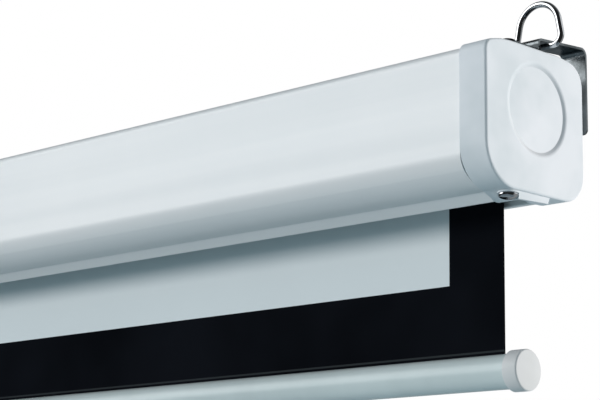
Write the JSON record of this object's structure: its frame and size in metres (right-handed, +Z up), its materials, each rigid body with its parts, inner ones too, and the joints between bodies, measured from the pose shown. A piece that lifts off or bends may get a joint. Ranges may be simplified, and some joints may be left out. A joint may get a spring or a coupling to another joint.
{
  "type": "pull down projector screen",
  "caption": "Wall-hung pull-down projector screen: long case with rounded end caps and strap hangers, spring roller, black-bordered white fabric and a round weight bar.",
  "frame": {"origin": "on the wall plane, midway between the holes of the two wall flanges", "axes": "+X along the case to the end seen in the picture, +Y into the wall, +Z up"},
  "size_m": [1.7552, 0.0866, 0.2448],
  "materials": {
    "case_paint": "satin white coating",
    "moulded_white": "moulded white plastic",
    "chrome": "bright plated steel",
    "dark_screw": "blackened steel",
    "zinc_steel": "zinc plated sheet steel",
    "spring_steel": "oiled spring steel",
    "aluminium": "drawn tube",
    "nylon": "moulded nylon",
    "screen_cloth": "matt white coated cloth with a black border",
    "bar_paint": "satin pale grey coating",
    "bar_cap_plastic": "moulded light grey plastic"
  },
  "bodies": {
    "case": {"case_shell": "case_paint", "end_cap_right": "moulded_white", "end_cap_left": "moulded_white", "skirt_screw_right": "chrome", "skirt_screw_left": "chrome", "strap_screw_right": "dark_screw", "strap_screw_left": "dark_screw", "hanger_bracket_right": "chrome", "hanger_bracket_left": "chrome", "roller_bracket_right": "zinc_steel", "roller_bracket_left": "zinc_steel", "spindle": "spring_steel", "torsion_spring": "spring_steel", "spring_hub": "nylon", "ratchet_wheel": "zinc_steel", "idle_bush": "nylon"},
    "roller": {"roller_tube": "aluminium", "fabric_roll": "screen_cloth", "drive_plug": "nylon", "pawl_pin_upper": "spring_steel", "pawl_pin_lower": "spring_steel", "idle_plug": "nylon", "idle_pin": "spring_steel"},
    "pawl_top": {"pawl_upper": "zinc_steel"},
    "pawl_bottom": {"pawl_lower": "zinc_steel"},
    "screen": {"screen_fabric": "screen_cloth", "weight_bar": "bar_paint", "hem_rod": "aluminium", "bar_cap_right": "bar_cap_plastic", "bar_cap_left": "bar_cap_plastic", "handle_clip": "zinc_steel"},
    "handle": {"pull_handle": "chrome"},
    "ring_right": {"hanging_ring_right": "chrome"},
    "ring_left": {"hanging_ring_left": "chrome"}
  },
  "joints": [
    {"name": "screen_drop", "type": "slide", "parent": "case", "child": "screen", "axis": [0, 0, -1], "range_m": [-0.07427, 0.9036], "deforming": ["screen_fabric"]},
    {"name": "roller_spin", "type": "hinge", "parent": "case", "child": "roller", "pos_m": [0, -0.04835, -0.0075], "axis": [1, 0, 0], "range_deg": [-2629, 217]},
    {"name": "pawl_top_swing", "type": "hinge", "parent": "roller", "child": "pawl_top", "pos_m": [0.849, -0.04835, 0.0031], "axis": [1, 0, 0], "range_deg": [0, 18]},
    {"name": "pawl_bottom_swing", "type": "hinge", "parent": "roller", "child": "pawl_bottom", "pos_m": [0.849, -0.04835, -0.0181], "axis": [1, 0, 0], "range_deg": [0, 18]},
    {"name": "handle_swing", "type": "hinge", "parent": "screen", "child": "handle", "pos_m": [0, -0.02843, -0.14755], "axis": [1, 0, 0], "range_deg": [-110, 35]},
    {"name": "ring_right_swing", "type": "hinge", "parent": "case", "child": "ring_right", "pos_m": [0.8623, -0.03485, 0.0288], "axis": [1, 0, 0], "range_deg": [-60, 80]},
    {"name": "ring_left_swing", "type": "hinge", "parent": "case", "child": "ring_left", "pos_m": [-0.8623, -0.03485, 0.0288], "axis": [1, 0, 0], "range_deg": [-60, 80]}
  ],
  "couplings": [
    {"joint": "roller_spin", "follows": "screen_drop", "rad_per_m": -50.761}
  ]
}
